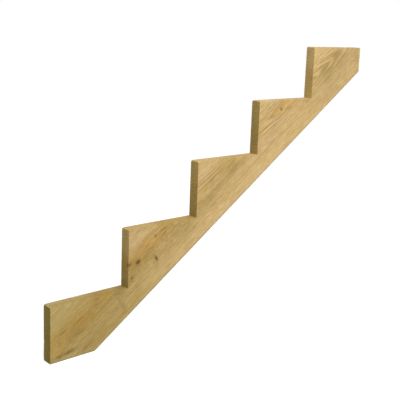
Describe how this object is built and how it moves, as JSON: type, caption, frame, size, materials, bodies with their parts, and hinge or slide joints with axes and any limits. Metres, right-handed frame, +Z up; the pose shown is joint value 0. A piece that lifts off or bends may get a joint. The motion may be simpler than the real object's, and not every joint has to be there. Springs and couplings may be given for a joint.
{
  "type": "stair stringer",
  "caption": "Notched stair stringer sawn from one plank of pressure-treated pine, with level tread seats, plumb riser seats, a level foot and a plumb top end.",
  "frame": {"origin": "the toe, where the first riser meets the floor, at mid-thickness of the plank", "axes": "+X up the stair along its run, +Y through the plank's thickness, +Z up"},
  "size_m": [1.397, 0.0382, 0.9398],
  "materials": {
    "treated_pine": "planed, pressure-treated, sawn on the step cuts"
  },
  "bodies": {
    "root": {"stringer": "treated_pine"}
  },
  "joints": []
}
